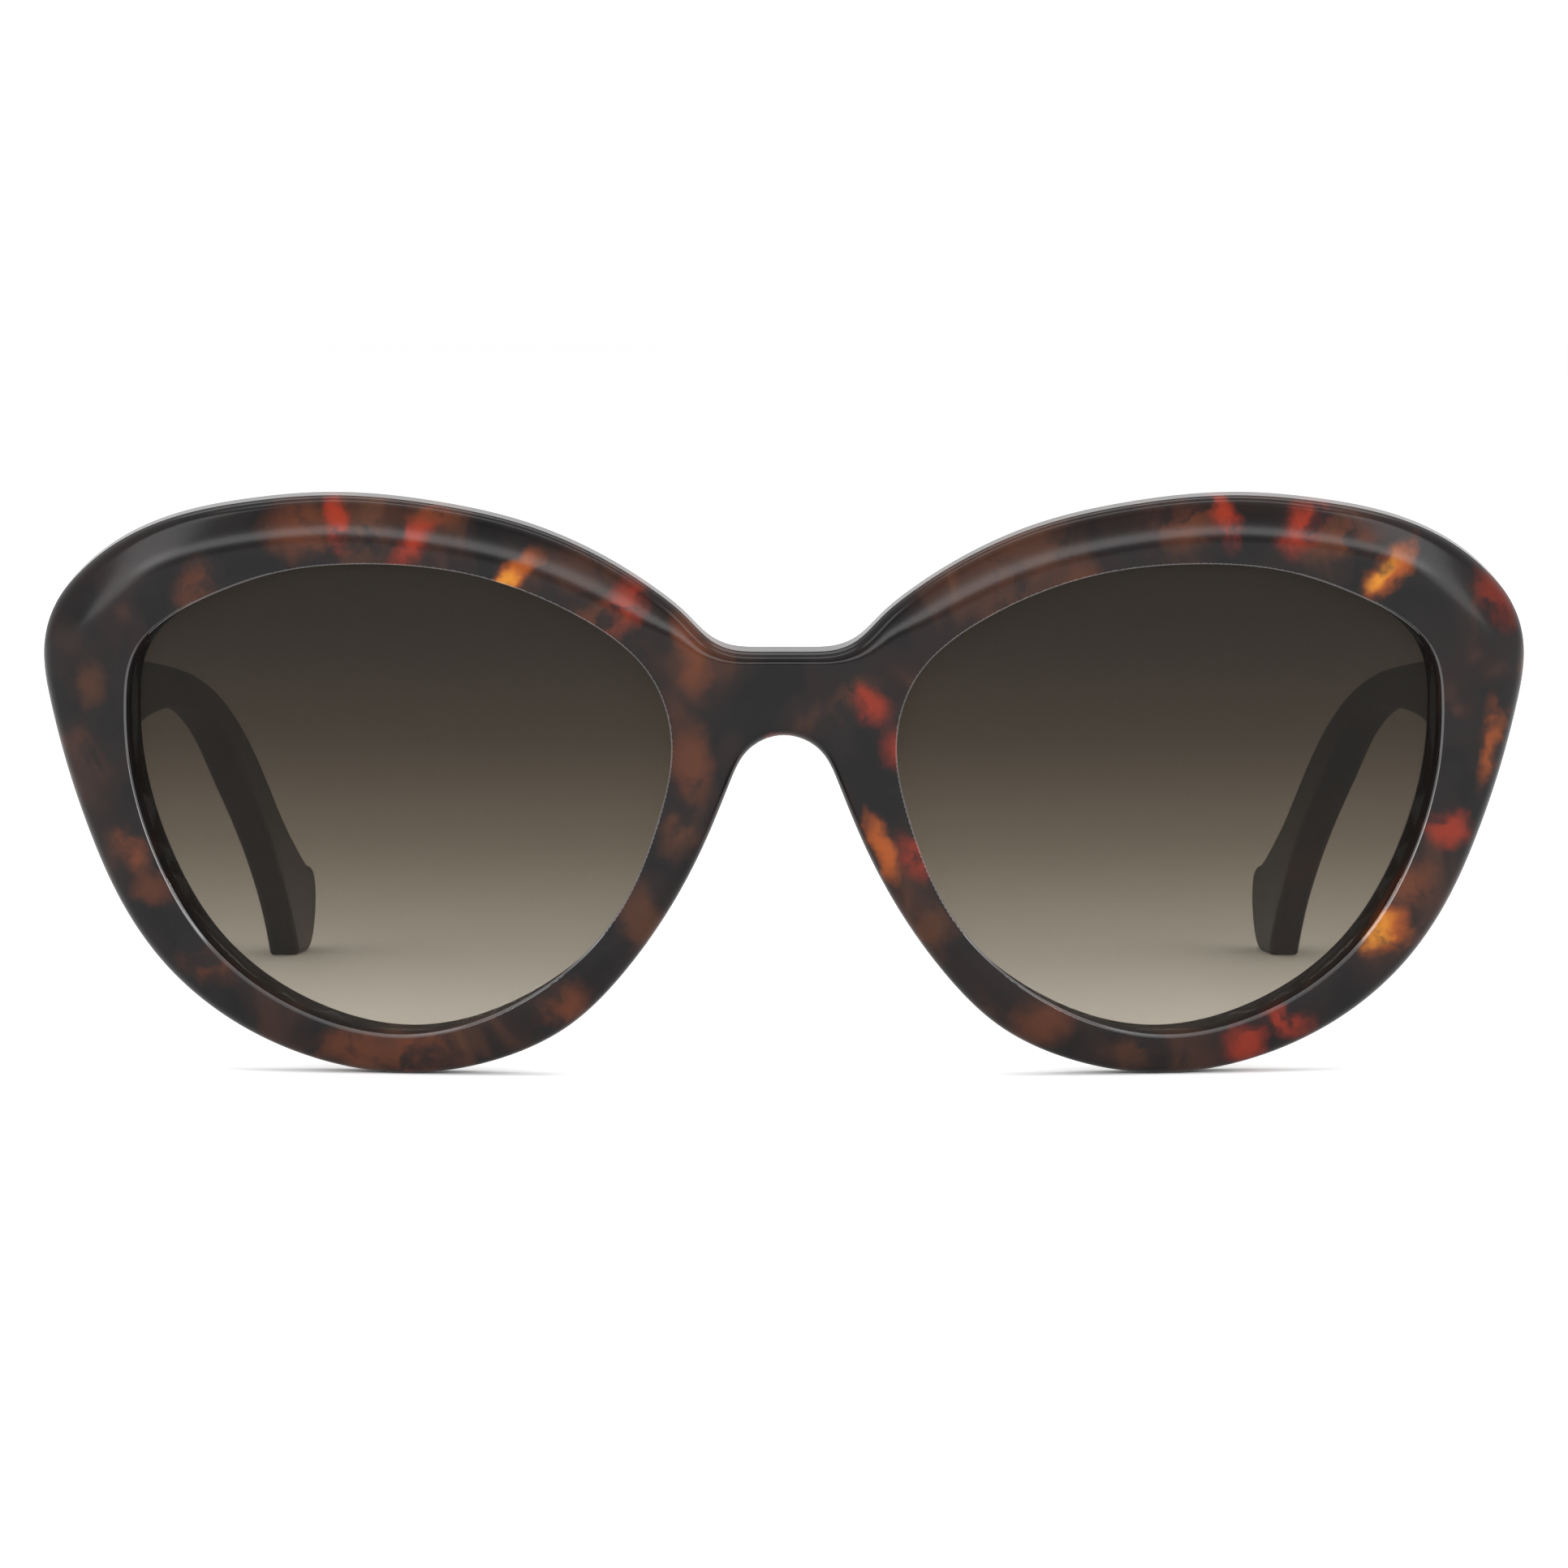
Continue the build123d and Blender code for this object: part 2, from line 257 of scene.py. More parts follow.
def rings_and_grid(outer, holes, outer_steps, hole_steps, pitch):
    """Loose points that follow the edges closely and fill the rest evenly."""
    keep = []
    out = normals(outer)
    for k, d in enumerate(outer_steps):
        ring = outer - out * d
        pick = ring[(k % 2) :: 2] if d > SPARSE_FROM else ring
        good = nearest(pick, outer)[0] > d - RING_SLACK
        for hole in holes:
            good &= nearest(pick, hole)[0] > hole_steps[-1] + HOLE_GAP
            good &= ~inside(pick, hole)
        keep.append(pick[good])
    for hole in holes:
        away = normals(hole)
        for d in hole_steps:
            ring = hole + away * d
            good = nearest(ring, outer)[0] > EDGE_GAP
            keep.append(ring[good])
    lo, hi = outer.min(0), outer.max(0)
    xs = np.arange(lo[0], hi[0], pitch)
    zs = np.arange(lo[1], hi[1], pitch * ROW_RATIO)
    grid = np.array([(x + (pitch / 2 if j % 2 else 0), z) for j, z in enumerate(zs) for x in xs])
    grid = grid[inside(grid, outer)]
    good = nearest(grid, outer)[0] > outer_steps[-1] + GRID_GAP
    for hole in holes:
        good &= ~inside(grid, hole)
        good &= nearest(grid, hole)[0] > hole_steps[-1] + GRID_GAP
    keep.append(grid[good])
    return np.vstack(keep)


# ---------------------------------------------------------------- shape of the face
OUTER_N = 760           # points round the outline
HOLE_N = 320            # points round each lens opening
EDGE_R = 0.9            # rounding of the outer edge
BACK_R = 1.3            # the same edge at the back
HOLE_BACK_R = 0.4       # and the lens opening's edge at the back
STEEPEST = 0.985        # share of a rounding's radius at which its slope stops growing

CREST_RIM = 2.3         # crest of the bevel from the outer edge, round the rims
CREST_BROW = 1.35       # how much farther in it runs along the brow
CREST_BRIDGE = 0.8      # and its distance at the middle of the bridge
BROW_FOOT = 36          # height where the crest starts to move in
BROW_RUN = 12           # height over which it does
BRIDGE_HALF = 9.5       # half width of the bridge
CREST_SOFT = 0.42       # share of that distance over which the crest is rounded
FALL_RIM = 0.40         # fall of the bevel outside the crest
FALL_BRIDGE = 0.25      # and how much steeper it is at the bridge
FALL_INSIDE = 0.05      # fall of the face inside the crest

LIP_NARROW = 0.12       # bevel at a lens opening, where it is narrow
LIP_WIDER = 0.18        # and how much wider it gets
LIP_SOFT = 0.05         # softening of that bevel

FACE_STEPS = [0.06, 0.14, 0.26, 0.42, 0.62, 0.85, 1.1, 1.4, 1.8, 2.2, 2.6, 3.0, 3.4, 3.8, 4.2, 4.7]
FACE_HOLE_STEPS = [0.08, 0.16, 0.22, 0.27, 0.31, 0.36, 0.42, 0.6, 0.95]
FACE_PITCH = 0.9
BACK_STEPS = [0.08, 0.2, 0.38, 0.62, 0.92, 1.3, 2.0]
BACK_HOLE_STEPS = [0.1, 0.22, 0.4, 0.9]
BACK_PITCH = 1.0
SIDE_SHARES = (0.03, 0.25, 0.5, 0.75, 0.97)                     # rows of the outer side
WALL_DEPTHS = (0.42, 1.2, 2.15, 2.3, 3.9, 4.1, 5.0, 5.5)        # rows of the opening's wall

# Material of a face of the front, in the order of its material slots; the third is a darkened copy
# of the acetate for the lens openings' walls, painted shade.
PLAIN, BEVEL, WALL_PAINTED_SHADE = 0, 1, 2

# A hair inside the CAD outline, so that the spline between its points never passes the CAD box.
outer = closed_spline(OUTLINE, OUTER_N) * (0.9997, 0.9999)


def bridge_share(x):
    """One at the middle of the bridge, falling to nothing along the rims."""
    return 1 / (1 + (x / BRIDGE_HALF) ** 4)


def ridge_width(x, z):
    """Distance of the crest from the outer edge."""
    width = CREST_RIM + CREST_BROW * ease((z - BROW_FOOT) / BROW_RUN)
    return width + (CREST_BRIDGE - width) * bridge_share(x)


def outer_slope(x):
    """Fall of the bevel outside the crest."""
    return FALL_RIM + FALL_BRIDGE * bridge_share(x)


def rounding(distance, radius):
    """Depth and slope of a quarter-round edge at a distance from it."""
    edge = np.clip(radius - distance, 0, radius * STEEPEST)
    root = np.sqrt(radius**2 - edge**2)
    drop = radius - np.sqrt(radius**2 - np.clip(radius - distance, 0, radius) ** 2)
    return drop, -edge / root


def bevel(distance, width, soft):
    """Depth and slope of a 45 degree bevel that ends softly at its inner side."""
    s = width - distance
    root = np.sqrt(s * s + soft * soft)
    return (s + root) / 2, -(1 + s / root) / 2


def lip_width(side, away):
    """Bevel at a lens opening: wide on the temple side and below, narrow elsewhere."""
    return LIP_NARROW + LIP_WIDER * ease(0.5 + 0.9 * side * away[:, 0] - 0.6 * away[:, 1])


def face_shape(points, holes):
    """Depth of the face behind the sheet's own surface, and its normals in the local frame."""
    d, base, out = nearest(points, outer)
    width = ridge_width(base[:, 0], base[:, 1])
    fall = outer_slope(base[:, 0])
    inner = FALL_INSIDE
    soft = CREST_SOFT * width
    s = d - width
    root = np.sqrt(s * s + soft * soft)
    depth = (fall + inner) / 2 * root + (inner - fall) / 2 * s - soft * np.sqrt(inner * fall)
    slope = (fall + inner) / 2 * s / root + (inner - fall) / 2
    drop, steep = rounding(d, EDGE_R)
    depth = depth + drop
    slope = (slope + steep)[:, None] * -out
    for hole, side in zip(holes, (1, -1)):
        lip, _, away = nearest(points, hole)
        drop, steep = bevel(lip, lip_width(side, away), LIP_SOFT)
        depth = depth + drop
        slope = slope + steep[:, None] * away
    depth = np.maximum(depth, 0.0)
    x = points[:, 0]
    reach = np.sqrt((WRAP_R - depth) ** 2 - x * x)
    ratio = (WRAP_R - depth) / reach
    normal = np.stack([x / reach + ratio * slope[:, 0], -np.ones(len(x)), ratio * slope[:, 1]], 1)
    return depth, normal / np.linalg.norm(normal, axis=1)[:, None]


def back_y(points, holes):
    """Local y of the back, with the flat seats behind the end pieces."""
    round_off = rounding(nearest(points, outer)[0], BACK_R)[0]
    for hole in holes:
        round_off = round_off + rounding(nearest(points, hole)[0], HOLE_BACK_R)[0]
    y = sheet_y(points[:, 0], SHEET_T)
    x, z = np.abs(points[:, 0]), points[:, 1]
    seat = ease((x - SEAT_X) / SEAT_BLEND)
    seat *= ease((z - SEAT_Z[0]) / SEAT_BLEND) * ease((SEAT_Z[1] - z) / SEAT_BLEND)
    raised = np.maximum(y, SEAT_Y)
    y = y + (raised - y) * seat
    return y - round_off


def build_front():
    """The acetate front as one closed mesh: face, back, outer side and the openings' walls."""
    holes_face = [opening_ring(side, 0.0, HOLE_N) for side in (1, -1)]
    extra = rings_and_grid(outer, holes_face, FACE_STEPS, FACE_HOLE_STEPS, FACE_PITCH)
    points, tris, loops = fill([outer], holes_face, extra)
    depth, face_normals = face_shape(points, holes_face)
    verts = [place(points[:, 0], points[:, 1], depth)]
    faces = [tris]
    count = len(points)
    middle = points[tris].mean(1)
    edge = np.full(len(tris), PLAIN)
    for hole, side in zip(holes_face, (1, -1)):
        lip, _, away = nearest(middle, hole)
        edge[lip < lip_width(side, away)] = BEVEL
    kinds = [edge]

    holes_back = [opening_ring(side, SHEET_T, HOLE_N) for side in (1, -1)]
    extra = rings_and_grid(outer, holes_back, BACK_STEPS, BACK_HOLE_STEPS, BACK_PITCH)
    points_b, tris_b, loops_b = fill([outer], holes_back, extra)
    verts.append(place(points_b[:, 0], points_b[:, 1], y=back_y(points_b, holes_back)))
    faces.append(tris_b[:, ::-1] + count)
    kinds.append(np.full(len(tris_b), PLAIN))
    count += len(points_b)

    def wall(first, last, rows, flip):
        """Quads from one loop of vertices to another, through new rows between them."""
        nonlocal count
        chain = [first]
        for row in rows:
            verts.append(row)
            chain.append(np.arange(len(row)) + count)
            count += len(row)
        chain.append(last)
        quads = []
        for a, b in zip(chain, chain[1:]):
            c, d = np.roll(a, -1), np.roll(b, -1)
            quads.append(np.stack([a, c, d, b] if flip else [a, b, d, c], 1))
        return np.vstack(quads)

    edge_depth = depth[loops[0]]
    rows = []
    for share in SIDE_SHARES:
        to = edge_depth + (SHEET_T - BACK_R - edge_depth) * share
        rows.append(place(outer[:, 0], outer[:, 1], to))
    quads = [wall(loops[0], loops_b[0] + len(points), rows, False)]
    for k, side in enumerate((1, -1)):
        rows = []
        for to in WALL_DEPTHS:
            ring = opening_ring(side, to, HOLE_N)
            rows.append(place(ring[:, 0], ring[:, 1], np.full(HOLE_N, to)))
        quads.append(wall(loops[k + 1], loops_b[k + 1] + len(points), rows, True))
    all_faces = [tuple(f) for block in faces for f in block]
    all_faces += [tuple(f) for block in quads for f in block]
    # The lens openings' walls take the darkened copy of the acetate: painted shade for the recess
    # round the lens.
    kinds += [np.full(len(block), kind) for block, kind in zip(quads, (PLAIN, WALL_PAINTED_SHADE, WALL_PAINTED_SHADE))]
    piece = add_mesh("front_acetate", np.vstack(verts), all_faces, "front")

    # The face is shaded with its exact normals. Everywhere else zero asks for the usual ones.
    smooth = np.zeros((len(piece.data.vertices), 3))
    free = np.ones(len(points), bool)
    free[np.concatenate(loops)] = False
    smooth[: len(points)][free] = (face_normals @ np.array(LEAN).T)[free]
    piece.data.normals_split_custom_set_from_vertices([tuple(v) for v in smooth])
    for mat in (ACETATE, POLISHED_EDGE, LENS_WALL_PAINTED_SHADE):
        piece.data.materials.append(mat)
    piece.data.polygons.foreach_set("material_index", np.concatenate(kinds).astype(np.int32))
    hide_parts("front_frame")


LENS_FACES = ((2.22, False), (4.18, True))      # depth in the sheet, and turned to the back
LENS_N = 160            # points round a lens
LENS_GROOVE = 0.9       # how far it reaches into the groove
LENS_PITCH = 1.6        # spacing of the points inside it
LENS_CLEAR = 0.8        # and their distance from its edge


def build_lens(side, name):
    """Lens as a closed curved plate that reaches into the groove."""
    parts, faces, count = [], [], 0
    loops_all = []
    for depth, flip in LENS_FACES:
        ring = opening_ring(side, depth, LENS_N, grow=LENS_GROOVE)
        lo, hi = ring.min(0), ring.max(0)
        xs = np.arange(lo[0], hi[0], LENS_PITCH)
        zs = np.arange(lo[1], hi[1], LENS_PITCH)
        grid = np.array([(x, z) for x in xs for z in zs])
        grid = grid[inside(grid, ring)]
        grid = grid[nearest(grid, ring)[0] > LENS_CLEAR]
        points, tris, loops = fill([ring], [], grid)
        parts.append(place(points[:, 0], points[:, 1], np.full(len(points), depth)))
        faces.append((tris[:, ::-1] if flip else tris) + count)
        loops_all.append(loops[0] + count)
        count += len(points)
    a, b = loops_all
    quads = np.stack([a, b, np.roll(b, -1), np.roll(a, -1)], 1)
    all_faces = [tuple(f) for block in faces + [quads] for f in block]
    piece = add_mesh(name + "_tinted", np.vstack(parts), all_faces, "front")
    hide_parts(name)
    return piece


# ---------------------------------------------------------------- materials
MM = 1000               # material patterns are laid out in millimetres


def new_material(name):
    """An empty node material, with its tree and output node."""
    mat = bpy.data.materials.new(name)
    mat.use_nodes = True
    tree = mat.node_tree
    tree.nodes.clear()
    out = tree.nodes.new("ShaderNodeOutputMaterial")
    return mat, tree, out


class Nodes:
    """Small helper that adds nodes and links them in one call."""

    def __init__(self, tree):
        self.tree = tree

    def add(self, kind, links=None, **props):
        node = self.tree.nodes.new(kind)
        for key, value in props.items():
            setattr(node, key, value)
        for key, value in (links or {}).items():
            self.feed(node.inputs[key], value)
        return node

    def feed(self, socket, value):
        """Link a socket to another node's output, or set its own value."""
        if isinstance(value, bpy.types.NodeSocket):
            self.tree.links.new(value, socket)
        else:
            socket.default_value = value

    def coords(self, scale=(1, 1, 1)):
        source = self.add("ShaderNodeTexCoord").outputs["Object"]
        return self.add("ShaderNodeMapping", {"Vector": source, "Scale": scale}).outputs[0]

    def noise(self, vector, scale, detail=3.0, rough=0.5, warp=0.0):
        return self.add(
            "ShaderNodeTexNoise",
            {"Vector": vector, "Scale": scale, "Detail": detail, "Roughness": rough,
             "Distortion": warp},
        ).outputs["Fac"]

    def ramp(self, fac, stops, mode="EASE"):
        node = self.add("ShaderNodeValToRGB", {"Fac": fac})
        node.color_ramp.interpolation = mode
        elements = node.color_ramp.elements
        while len(elements) < len(stops):
            elements.new(0.5)
        for element, (at, colour) in zip(elements, stops):
            element.position = at
            element.color = (*colour, 1)
        return node.outputs[0]

    def mix(self, fac, a, b):
        """Mix the colour a towards the plain colour b."""
        node = self.add("ShaderNodeMix", data_type="RGBA")
        self.feed(node.inputs[0], fac)
        self.feed(node.inputs[6], a)
        self.feed(node.inputs[7], (*b, 1))
        return node.outputs[2]


# Colours of the flames, and the nearly black smoke over them.
BROWN = (0.050, 0.019, 0.010)
RUST = (0.090, 0.026, 0.011)
RED = (0.22, 0.022, 0.009)
ORANGE = (0.27, 0.060, 0.010)
AMBER = (0.46, 0.17, 0.016)
SMOKE = (0.007, 0.006, 0.0065)

# Flames in the front's acetate: centre across and up in millimetres, half width, half length,
# lean in degrees, colour and strength.
FLAMES = [
    (-46, 53, 5.0, 4.0, 0, RUST, 0.75), (-42.9, 53.6, 1.5, 4.4, 8, RED, 0.9),
    (-35.2, 52.2, 2.0, 5.4, -35, RED, 0.9), (-33.5, 54.0, 3.6, 2.2, -10, RUST, 0.8),
    (-26.0, 48.3, 1.7, 4.6, -50, ORANGE, 1.0), (-26.6, 47.8, 1.0, 2.4, -55, AMBER, 1.0),
    (-15.0, 45.6, 2.6, 4.6, -20, RED, 0.8), (-17.5, 44.0, 4.6, 3.6, 20, RUST, 0.6),
    (-9.0, 40.5, 2.0, 5.5, 15, RUST, 0.9), (-9.2, 30.5, 3.0, 6.5, 8, RUST, 0.7),
    (-10.0, 24.0, 3.0, 4.0, -20, BROWN, 1.0), (-67.0, 37.5, 1.8, 3.6, 0, BROWN, 0.8),
    (-56.5, 47.0, 3.0, 4.0, -30, RUST, 0.6), (-62.7, 21.3, 2.2, 3.2, 35, RUST, 1.0),
    (-61.2, 18.0, 2.8, 2.2, 10, RUST, 0.6), (-55.5, 10.6, 3.6, 2.6, -30, RUST, 0.6),
    (-41.6, 2.6, 5.5, 3.0, 0, RUST, 0.8), (-35.2, 2.2, 4.4, 3.6, 20, RUST, 1.0),
    (-21.4, 6.8, 3.8, 2.8, 30, RUST, 0.9), (-13.0, 14.6, 3.0, 5.0, 25, BROWN, 1.0),
    (42.2, 53.6, 1.8, 4.6, 10, RED, 0.9), (38.5, 53.6, 4.5, 3.5, 0, RUST, 0.7),
    (50.0, 53.2, 2.8, 4.2, -30, RED, 0.9), (54.0, 51.8, 4.5, 2.6, 10, RUST, 0.7),
    (58.4, 48.8, 2.2, 4.4, -40, ORANGE, 1.0), (57.8, 48.6, 1.2, 2.8, -40, AMBER, 1.0),
    (68.4, 46.0, 2.6, 4.4, 30, RED, 0.45), (8.0, 36.2, 2.4, 2.0, -30, RED, 0.75),
    (10.6, 32.0, 2.2, 3.6, 15, RED, 0.6), (9.6, 22.2, 1.2, 4.6, 20, ORANGE, 0.9),
    (12.2, 21.2, 1.8, 3.4, 25, RED, 0.6), (14.0, 14.0, 3.0, 4.6, -20, BROWN, 1.0),
    (21.5, 44.0, 3.6, 4.4, 0, BROWN, 0.9), (28.5, 47.4, 3.0, 3.4, 0, RUST, 0.45),
    (68.3, 31.6, 1.7, 5.5, -10, ORANGE, 0.6), (64.4, 23.6, 2.6, 2.8, 20, RED, 0.8),
    (60.6, 18.4, 3.6, 3.0, 40, RUST, 0.9), (58.2, 13.5, 2.4, 3.8, -50, ORANGE, 0.9),
    (57.6, 13.3, 1.3, 2.6, -50, AMBER, 0.9), (48.4, 5.0, 3.8, 2.6, -25, RED, 0.75),
    (44.4, 2.8, 2.6, 3.6, 10, RED, 0.8), (25.2, 5.6, 4.6, 3.0, 20, RUST, 0.7),
    (0.0, 32.4, 2.0, 1.3, 0, RED, 0.6), (33.0, 2.0, 3.5, 2.8, 0, BROWN, 0.8),
]


SWIRL = 4.4             # how far the fine noise moves the flames' edges, in millimetres
FRONT_MIDDLE_Y = -70    # the flames reach through the whole front from here
FLAME_REACH = 60


def tortoise(name, glow, rough, gloss, flames):
    """Polished havana acetate: charcoal and brown clouds with red and amber flames."""
    mat, tree, out = new_material(name)
    n = Nodes(tree)
    where = n.coords(scale=(MM, MM, MM))
    lean = n.add(
        "ShaderNodeMapping",
        {"Vector": where, "Rotation": (0, math.radians(20), 0), "Scale": (1.0, 0.5, 0.7)},
    ).outputs[0]
    clouds = n.noise(lean, 0.095, 2.5, 0.5, 0.7)
    colour = n.ramp(
        clouds,
        [(0.40, (0.005, 0.0044, 0.0048)), (0.52, (0.010, 0.0065, 0.006)),
         (0.62, (0.028, 0.012, 0.008)), (0.72, (0.055, 0.022, 0.012))],
    )
    stir = n.add(
        "ShaderNodeTexNoise", {"Vector": where, "Scale": 0.21, "Detail": 3.5, "Roughness": 0.62}
    ).outputs["Color"]
    moved = n.add(
        "ShaderNodeVectorMath",
        {0: stir, 1: (SWIRL, SWIRL, SWIRL), 2: where},
        operation="MULTIPLY_ADD",
    ).outputs[0]
    for x, z, wide, tall, turn, tint, strength in flames:
        inside_flame = n.add(
            "ShaderNodeMapping",
            {"Vector": moved, "Location": (x + SWIRL / 2, FRONT_MIDDLE_Y, z + SWIRL / 2),
             "Rotation": (0, math.radians(-turn), 0), "Scale": (wide, FLAME_REACH, tall)},
            vector_type="TEXTURE",
        ).outputs[0]
        ball = n.add(
            "ShaderNodeTexGradient", {"Vector": inside_flame}, gradient_type="SPHERICAL"
        ).outputs["Fac"]
        share = n.add(
            "ShaderNodeMapRange",
            {0: ball, 1: 0.0, 2: 0.85, 3: 0.0, 4: strength},
            interpolation_type="SMOOTHSTEP",
        ).outputs[0]
        colour = n.mix(share, colour, tuple(c * glow for c in tint))
    smoke = n.noise(moved, 0.20, 3.0, 0.55, 0.4)
    dark = n.ramp(smoke, [(0.50, (0, 0, 0)), (0.68, (0.9, 0.9, 0.9))])
    colour = n.mix(dark, colour, SMOKE)
    shader = n.add(
        "ShaderNodeBsdfPrincipled",
        {"Base Color": colour, "Roughness": rough, "IOR": 1.49, "Specular IOR Level": gloss},
    )
    fine = n.noise(where, 0.9, 3.0, 0.5)
    bump = n.add("ShaderNodeBump", {"Height": fine, "Strength": 0.02, "Distance": 0.00001})
    tree.links.new(bump.outputs[0], shader.inputs["Normal"])
    tree.links.new(shader.outputs[0], out.inputs[0])
    return mat


def lens_tint(name):
    """Graduated brown lens, dark at the top and pale at the bottom."""
    mat, tree, out = new_material(name)
    n = Nodes(tree)
    place_z = n.add(
        "ShaderNodeSeparateXYZ", {"Vector": n.add("ShaderNodeTexCoord").outputs["Object"]}
    ).outputs["Z"]
    lo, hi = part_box("lens_right")
    height = n.add(
        "ShaderNodeMapRange", {0: place_z, 1: lo.z, 2: hi.z, 3: 0.0, 4: 1.0}
    ).outputs[0]
    through = n.ramp(
        height,
        [(0.02, (0.63, 0.60, 0.545)), (0.18, (0.475, 0.447, 0.40)), (0.40, (0.312, 0.28, 0.24)),
         (0.62, (0.195, 0.170, 0.141)), (0.85, (0.132, 0.115, 0.095)),
         (1.0, (0.12, 0.104, 0.086))],
        "LINEAR",
    )
    clear = n.add("ShaderNodeBsdfTransparent", {"Color": through})
    gloss = n.add(
        "ShaderNodeBsdfPrincipled",
        {"Base Color": (0.075, 0.068, 0.062, 1), "Roughness": 0.03, "IOR": 1.5},
    )
    mixed = n.add("ShaderNodeMixShader", {0: 0.10, 1: clear.outputs[0], 2: gloss.outputs[0]})
    tree.links.new(mixed.outputs[0], out.inputs[0])
    return mat


def metal(name, colour, rough, grain):
    """Tumbled metal with a fine brushed grain and faint cloudy tarnish."""
    mat, tree, out = new_material(name)
    n = Nodes(tree)
    brushed = n.noise(n.coords(scale=(MM, MM, 12 * MM)), grain, 2.0, 0.5)
    cloud = n.noise(n.coords(scale=(MM, MM, MM)), 0.45, 3.0, 0.55)
    shade = n.ramp(cloud, [(0.35, tuple(c * 0.88 for c in colour)), (0.65, colour)])
    dull = n.ramp(brushed, [(0.3, (rough * 0.85,) * 3), (0.7, (rough * 1.15,) * 3)])
    shader = n.add(
        "ShaderNodeBsdfPrincipled", {"Base Color": shade, "Roughness": dull, "Metallic": 1.0}
    )
    bump = n.add("ShaderNodeBump", {"Height": brushed, "Strength": 0.05, "Distance": 0.00001})
    tree.links.new(bump.outputs[0], shader.inputs["Normal"])
    tree.links.new(shader.outputs[0], out.inputs[0])
    return mat


def dress(obj, mat):
    """Give an object one material."""
    obj.data.materials.clear()
    obj.data.materials.append(mat)


ACETATE = tortoise("havana_front", 0.85, 0.17, 0.17, FLAMES)
POLISHED_EDGE = tortoise("havana_polished_edge", 0.85, 0.14, 1.0, FLAMES)
# Painted shade: the acetate with its flames dimmed to a quarter and hardly any gloss, so that the
# lens openings' walls look as dark as a shaded recess.
LENS_WALL_PAINTED_SHADE = tortoise("havana_lens_wall_painted_shade", 0.25, 0.5, 0.05, FLAMES)
TEMPLE_ACETATE = tortoise("havana_temple", 1.0, 0.38, 0.12, [])
LENS = lens_tint("brown_graduated")
HINGE_METAL = metal("nickel_silver", (0.62, 0.58, 0.52), 0.28, 2.0)
SCREW = metal("screw_steel", (0.72, 0.71, 0.69), 0.2, 3.0)
CORE = metal("core_metal", (0.55, 0.52, 0.47), 0.35, 1.5)

build_front()
dress(build_lens(1, "lens_right"), LENS)
dress(build_lens(-1, "lens_left"), LENS)
nodes = frame["nodes"]
for side in ("left", "right"):
    dress(nodes["temple_" + side], TEMPLE_ACETATE)
    dress(nodes["nose_pad_" + side], ACETATE)
    dress(nodes["front_hinge_" + side], HINGE_METAL)
    dress(nodes["temple_hinge_" + side], HINGE_METAL)
    dress(nodes["hinge_screw_" + side], SCREW)
    dress(nodes["core_wire_" + side], CORE)


# ---------------------------------------------------------------- stage, light and camera
FLOOR_HALF = 3.0        # half the side of the floor, in metres
LIGHT_AIM = (0, -0.07, 0.04)

# Name, place, width and height in metres, and radiance of each soft light.
LIGHTS = [
    ("strip", (0, -1.35, 0.40), (3.2, 0.24), 7.5),
    ("top", (0, -0.25, 1.3), (1.6, 0.14), 7.0),
    ("back", (0, 0.55, 1.25), (1.6, 0.25), 3.0),
    ("side_left", (-1.1, -0.9, 0.5), (0.34, 1.3), 5.0),
    ("side_right", (1.1, -0.9, 0.5), (0.34, 1.3), 5.0),
]


def floor():
    """A pale, nearly even floor."""
    s = FLOOR_HALF
    mesh = bpy.data.meshes.new("floor")
    mesh.from_pydata([(-s, -s, 0), (s, -s, 0), (s, s, 0), (-s, s, 0)], [], [(0, 1, 2, 3)])
    obj = bpy.data.objects.new("floor", mesh)
    bpy.context.scene.collection.objects.link(obj)
    mat, tree, out = new_material("floor")
    n = Nodes(tree)
    shade = n.noise(n.coords(), 3.0)
    colour = n.ramp(shade, [(0.3, (0.975, 0.975, 0.975)), (0.7, (0.985, 0.985, 0.985))])
    shader = n.add("ShaderNodeBsdfPrincipled", {"Base Color": colour, "Roughness": 0.9})
    tree.links.new(shader.outputs[0], out.inputs[0])
    dress(obj, mat)


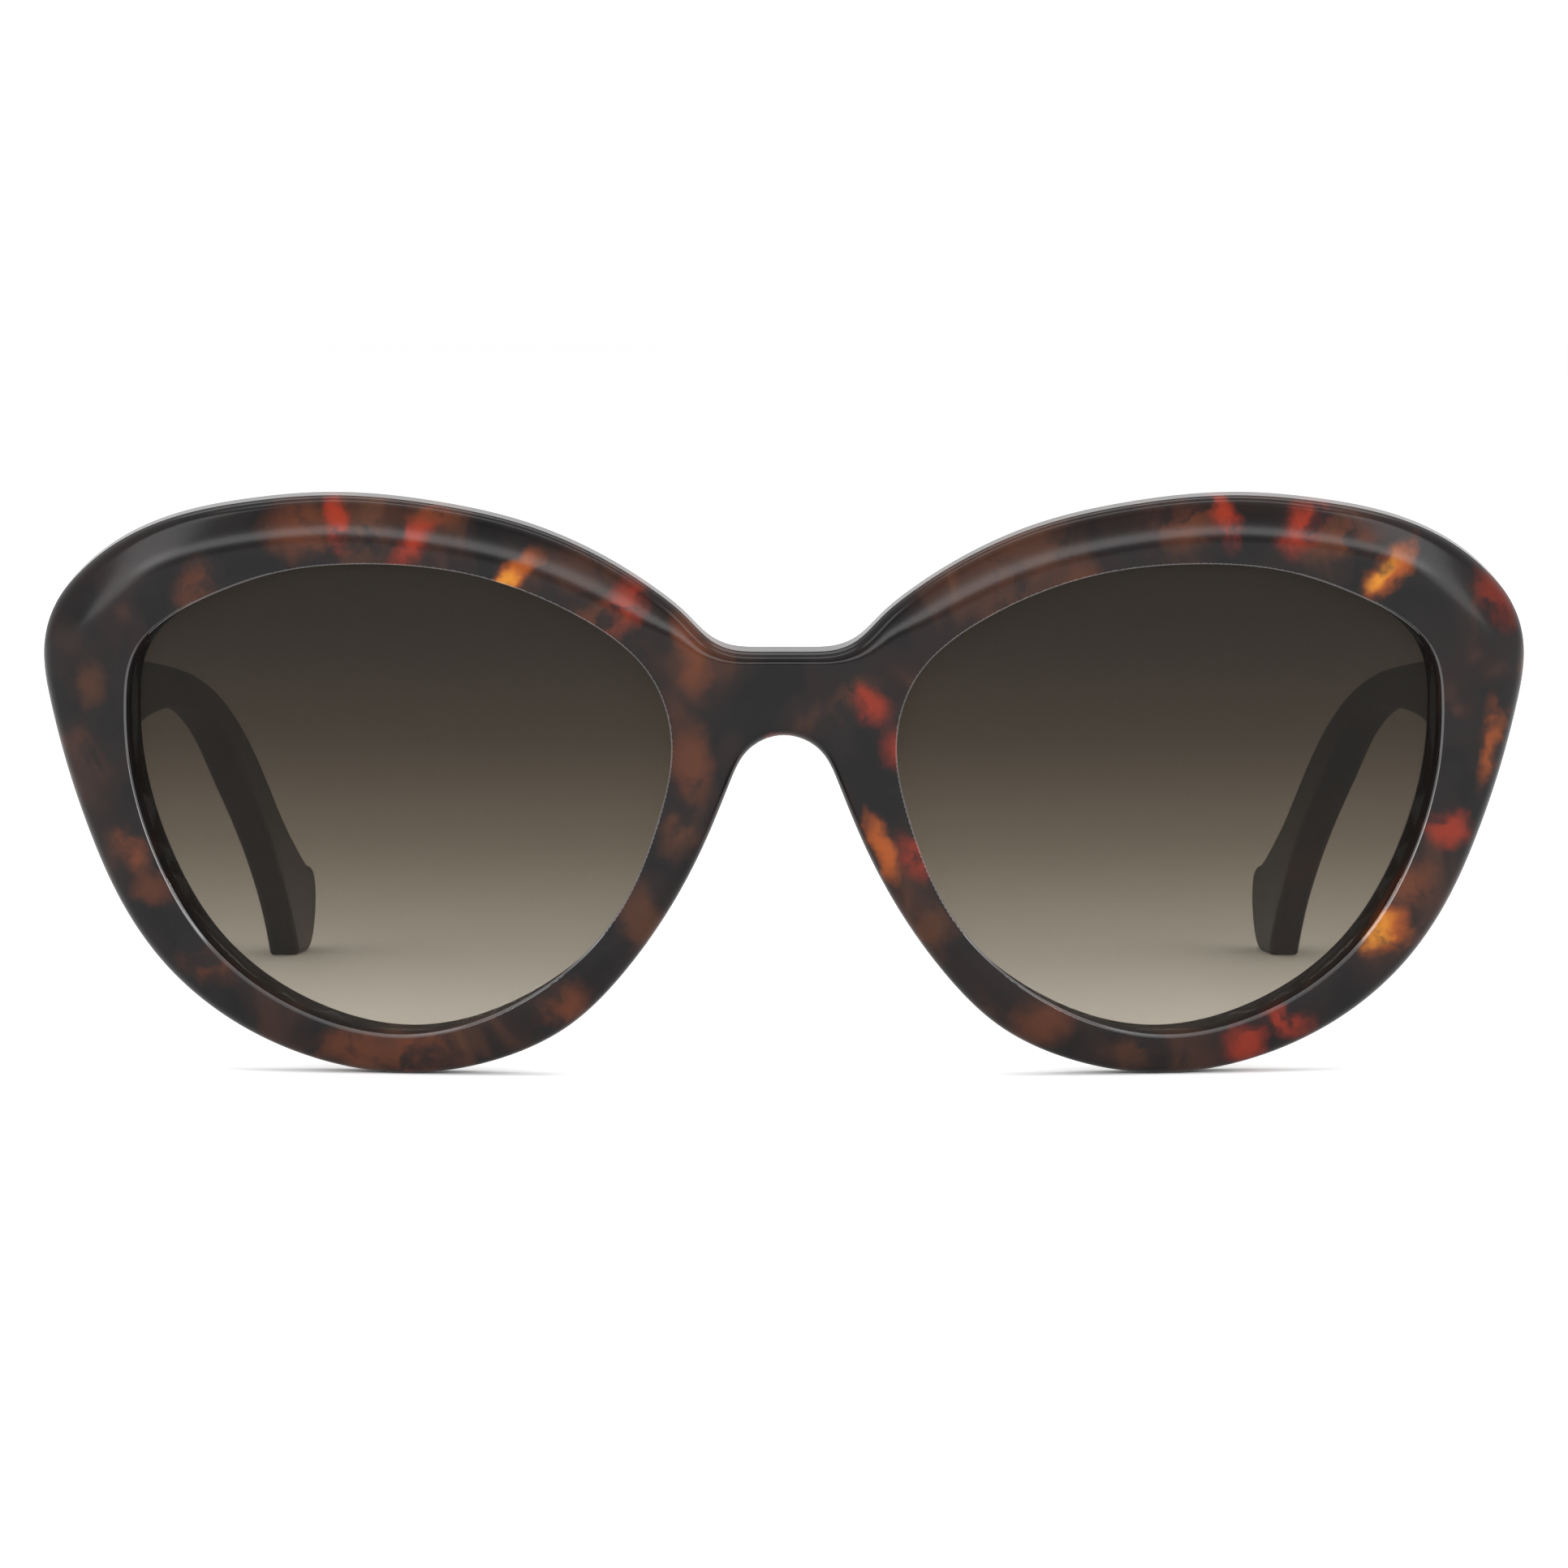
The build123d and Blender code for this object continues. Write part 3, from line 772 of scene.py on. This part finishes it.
def area_light(name, place_at, size, radiance):
    """A rectangular light turned towards the sunglasses."""
    light = bpy.data.lights.new(name, "AREA")
    light.shape = "RECTANGLE"
    light.size, light.size_y = size
    light.energy = radiance * math.pi * size[0] * size[1]
    obj = bpy.data.objects.new(name, light)
    bpy.context.scene.collection.objects.link(obj)
    obj.location = place_at
    toward = Vector(LIGHT_AIM) - Vector(place_at)
    obj.rotation_euler = toward.to_track_quat("-Z", "Y").to_euler()


def studio_world():
    """White surroundings, dimmer in front of the object than behind it."""
    world = bpy.data.worlds.new("studio")
    bpy.context.scene.world = world
    world.use_nodes = True
    n = Nodes(world.node_tree)
    across = n.add("ShaderNodeTexCoord").outputs["Generated"]
    toward = n.add("ShaderNodeSeparateXYZ", {"Vector": across}).outputs["Y"]
    bright = n.add(
        "ShaderNodeMapRange", {0: toward, 1: -0.85, 2: -0.35, 3: 0.40, 4: 1.09},
        interpolation_type="SMOOTHSTEP",
    ).outputs[0]
    background = world.node_tree.nodes["Background"]
    n.feed(background.inputs[1], bright)
    n.feed(background.inputs[0], (1, 1, 1, 1))


# The camera stands a metre in front of the face, a little above it, and looks at its middle.
CAMERA_AWAY = 1.0
CAMERA_UP = 0.0935
PICTURE_WIDTH = 0.1501  # width of the view at the face
AIM_FORWARD = 0.0026    # the aim is this far in front of the upright front's own origin
AIM_RAISE = 0.00035     # and this far above the middle of the front's box
SENSOR = 36


def add_camera():
    """The camera, level across, at the distance and width of view given above."""
    low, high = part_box("front_frame")
    aim = Vector((0, ORIGIN.y / 1000 - AIM_FORWARD, (low.z + high.z) / 2 + AIM_RAISE))
    back = math.sqrt(CAMERA_AWAY**2 - (CAMERA_UP - aim.z) ** 2)
    camera = bpy.data.objects.new("camera", bpy.data.cameras.new("camera"))
    bpy.context.scene.collection.objects.link(camera)
    bpy.context.scene.camera = camera
    camera.location = (0, aim.y - back, CAMERA_UP)
    camera.rotation_euler = (aim - camera.location).to_track_quat("-Z", "Y").to_euler()
    camera.data.sensor_width = SENSOR
    camera.data.lens = SENSOR * CAMERA_AWAY / PICTURE_WIDTH
    camera.data.clip_start = 0.05
    camera.data.clip_end = 20


floor()
studio_world()
for light in LIGHTS:
    area_light(*light)
add_camera()
bpy.context.scene.view_settings.view_transform = "Standard"
